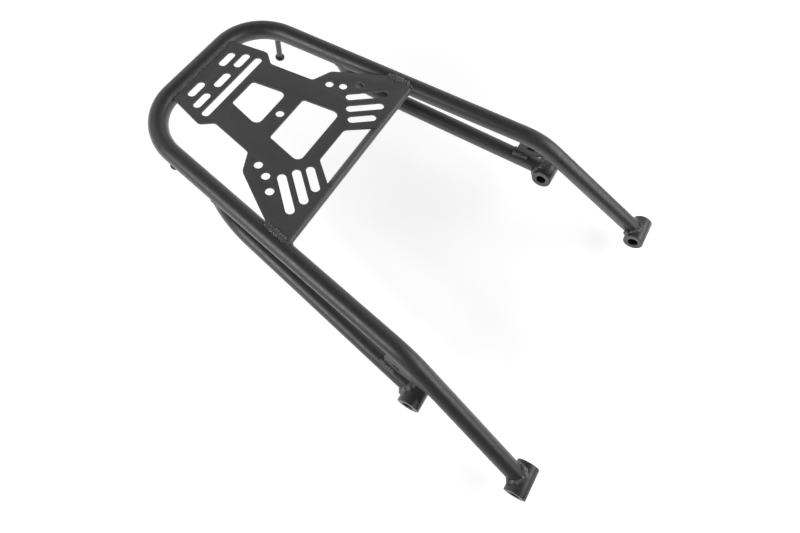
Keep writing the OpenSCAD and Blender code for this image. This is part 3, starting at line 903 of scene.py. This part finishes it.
class RACK_OT_gusset_beads(RackOperator, bpy.types.Operator):
    """Run the beads along the gussets' edges on loop and strut"""

    bl_idname = "rack.gusset_beads"
    bl_label = "Gusset beads"

    def execute(self, context):
        for name, side in SIDES:
            bm = bmesh.new()
            for seed, (kind, line, outs) in enumerate(self.runs(side)):
                weld_bead(bm, line, outs, kind, False, seed + side * 0.37)
            roughen(bm, *GUSSET_BEAD_ROUGH, side)
            piece = finish_mesh(bm, f"{name}_gusset_beads")
            fit_piece(piece, f"{name}_gusset_weld", "coated_weld", "bead_coat")
        return {"FINISHED"}

    def runs(self, side):
        """The lines where both faces of a gusset meet the tubes."""
        step = self.sizes.ripple / RINGS_PER_RIPPLE
        turned, heading = strut_path(1, self.sizes.bend_step)[-2]
        loop = [p for p, _ in loop_path(self.sizes.bend_step) if p.x > 0 and p.y < 0]
        on_loop = clear_of_path(loop, TUBE_R)
        on_strut = clear_of_tube(turned, heading, STRUT_R)
        ahead = Vector((heading.x, heading.y, 0)).normalized()
        across = Vector((-ahead.y, ahead.x, 0))
        leg_fall = (FRONT_LUG.z - FRONT_CORNER.z) / (FRONT_LUG.y - FRONT_CORNER.y)
        foot = turned + heading * ((GUSSET_FOOT_Y - turned.y) / heading.y)
        lip_z = foot.z + STRUT_R + GUSSET_LIP
        tip_z = FRONT_CORNER.z + leg_fall * (GUSSET_TIP_Y - FRONT_CORNER.y)
        for face in (-1, 1):
            upper, lower = [], []
            y = GUSSET_REAR_Y + GUSSET_BEAD_REAR_SHORT
            while y > GUSSET_TIP_Y:
                base = turned + heading * ((y - turned.y) / heading.y)
                base += across * face * GUSSET_T / 2
                middle = Vector((base.x, base.y, base.z + STRUT_R + 0.5 * MM))
                if y > GUSSET_FOOT_Y + GUSSET_BEAD_FRONT_SHORT:
                    outward = across * face * GUSSET_BEAD_OUTWARD
                    base += outward
                    above = middle + outward + Vector((0, 0, TUBE_R))
                    lower.append(skin_between(on_strut, base, above))
                share = (y - GUSSET_FOOT_Y) / (GUSSET_TIP_Y - GUSSET_FOOT_Y)
                edge_z = lip_z + max(0, share) * (tip_z - lip_z)
                centre_z = side_point(y).z if y > FRONT_CORNER.y else (
                    FRONT_CORNER.z + leg_fall * (y - FRONT_CORNER.y))
                top = Vector((base.x, base.y, centre_z - 2 * MM))
                if on_loop(top) < 0:
                    skin = skin_between(on_loop, top, middle)
                    if skin.z > edge_z:
                        upper.append(skin)
                y -= step
            for kind, line, on_tube in (("gusset_on_loop", upper, on_loop),
                                        ("gusset_on_strut", lower, on_strut)):
                outs = [(across * face + slope(on_tube, p)).normalized() for p in line]
                yield kind, [mirrored(p, side) for p in line], [mirrored(o, side) for o in outs]


class RACK_OT_stage(RackOperator, bpy.types.Operator):
    """Set the floor, the soft lamps and the camera"""

    bl_idname = "rack.stage"
    bl_label = "Stage"

    def execute(self, context):
        self.floor()
        self.lamps()
        self.camera()
        context.scene.view_settings.view_transform = "Standard"
        return {"FINISHED"}

    def floor(self):
        """A pale floor that the camera and polished skins see as white away from the rack."""
        bm = bmesh.new()
        bmesh.ops.create_grid(bm, x_segments=1, y_segments=1, size=FLOOR_HALF,
                              matrix=Matrix.Translation((0, 0, CAD_LOW[2] - FLOOR_DROP)))
        floor = finish_mesh(bm, "floor")
        material = bpy.data.materials.new("pale_floor")
        n = Nodes(material)
        colour = bpy.context.scene.rack_finish.floor_colour
        n.shader.inputs["Base Color"].default_value = (*colour, 1)
        n.shader.inputs["Roughness"].default_value = 0.9
        n.shader.inputs["Specular IOR Level"].default_value = 0.1
        n.shader.inputs["Emission Color"].default_value = (1, 1, 1, 1)
        rays = n.add("ShaderNodeLightPath").outputs
        reach = n.add("ShaderNodeVectorMath", operation="LENGTH")
        n.link(n.place, reach.inputs["Vector"])
        glow = n.band(reach.outputs["Value"], *GLOW_REACH, *GLOW)
        seen = n.add("ShaderNodeMath", operation="MULTIPLY")
        n.link(n.add_up(rays["Is Camera Ray"], rays["Is Transmission Ray"]), seen.inputs[0])
        n.link(glow, seen.inputs[1])
        across = n.add("ShaderNodeVectorMath", operation="DOT_PRODUCT")
        n.link(n.place, across.inputs[0])
        across.inputs[1].default_value = GLOSS_HEADING
        mirrored_glow = n.add("ShaderNodeMath", operation="MULTIPLY")
        n.link(rays["Is Glossy Ray"], mirrored_glow.inputs[0])
        n.link(n.band(across.outputs["Value"], *GLOSS_REACH, *GLOSS_GLOW),
               mirrored_glow.inputs[1])
        n.link(n.add_up(seen.outputs["Value"], mirrored_glow.outputs["Value"]),
               n.shader.inputs["Emission Strength"])
        floor.data.materials.append(material)
        floor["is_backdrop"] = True

    def lamps(self):
        """The softboxes and a dim room, which the camera sees as white."""
        world = bpy.data.worlds.new("soft_room")
        bpy.context.scene.world = world
        n = Nodes(world)
        background = n.tree.nodes["Background"]
        background.inputs["Color"].default_value = (1, 1, 1, 1)
        rays = n.add("ShaderNodeLightPath").outputs
        seen = n.add_up(rays["Is Camera Ray"], rays["Is Transmission Ray"])
        mirrored_share = n.band(rays["Is Glossy Ray"], 0, 1, ROOM_LIGHT, ROOM_GLOSS)
        n.link(n.add_up(n.band(seen, 0, 1, 0, 1 - ROOM_LIGHT), mirrored_share),
               background.inputs["Strength"])
        for lamp in LAMPS:
            self.lamp(*lamp)

    def lamp(self, name, azimuth, elevation, size, brightness):
        """A softbox that faces the rack from a direction in degrees: 0 is right, 90 rear."""
        light = bpy.data.lights.new(name, "AREA")
        light.shape = "RECTANGLE"
        light.size, light.size_y = size
        light.energy = brightness * math.pi * size[0] * size[1]
        lamp = bpy.data.objects.new(name, light)
        turn, rise = math.radians(azimuth), math.radians(elevation)
        towards = Vector((math.cos(turn) * math.cos(rise), math.sin(turn) * math.cos(rise),
                          math.sin(rise)))
        lamp.location = LAMP_TARGET + towards * LAMP_DISTANCE
        lamp.rotation_euler = (-towards).to_track_quat("-Z", "Y").to_euler()
        bpy.context.scene.collection.objects.link(lamp)

    def camera(self):
        """A camera at the photographed angle."""
        data = bpy.data.cameras.new("camera")
        data.sensor_width = 36
        data.lens = CAMERA_LENS
        data.clip_start, data.clip_end = 0.01, 20
        camera = bpy.data.objects.new("camera", data)
        camera.matrix_world = placed(CAMERA_RIGHT, CAMERA_UP, CAMERA_BACK, CAMERA_AT)
        bpy.context.scene.collection.objects.link(camera)
        bpy.context.scene.camera = camera


class RACK_PT_panel(bpy.types.Panel):
    """The rack's operators and settings"""

    bl_idname = "RACK_PT_panel"
    bl_label = "Top case rack"
    bl_space_type = "VIEW_3D"
    bl_region_type = "UI"
    bl_category = "Rack"

    def draw(self, context):
        for group in (context.scene.rack_sizes, context.scene.rack_finish):
            for name in group.bl_rna.properties.keys():
                if name not in {"rna_type", "name"}:
                    self.layout.prop(group, name)
        for operator in OPERATORS:
            self.layout.operator(operator.bl_idname)


OPERATORS = (
    RACK_OT_loop_tube, RACK_OT_struts, RACK_OT_crossbar, RACK_OT_plate,
    RACK_OT_bolt_tubes, RACK_OT_gussets, RACK_OT_hook_pins, RACK_OT_plate_beads,
    RACK_OT_tube_beads, RACK_OT_gusset_beads, RACK_OT_stage,
)
CLASSES = (RackSizes, RackFinish, *OPERATORS, RACK_PT_panel)


def register():
    for cls in CLASSES:
        bpy.utils.register_class(cls)
    bpy.types.Scene.rack_sizes = bpy.props.PointerProperty(type=RackSizes)
    bpy.types.Scene.rack_finish = bpy.props.PointerProperty(type=RackFinish)


def unregister():
    del bpy.types.Scene.rack_finish
    del bpy.types.Scene.rack_sizes
    for cls in reversed(CLASSES):
        bpy.utils.unregister_class(cls)


def main():
    """Builds every piece in order."""
    register()
    for operator in OPERATORS:
        group, name = operator.bl_idname.split(".")
        getattr(getattr(bpy.ops, group), name)()
    low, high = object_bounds()
    ({"cad_box": [list(CAD_LOW), list(CAD_HIGH)],
               "visual_box": [list(low), list(high)]})


if __name__ == "__main__":
    main()
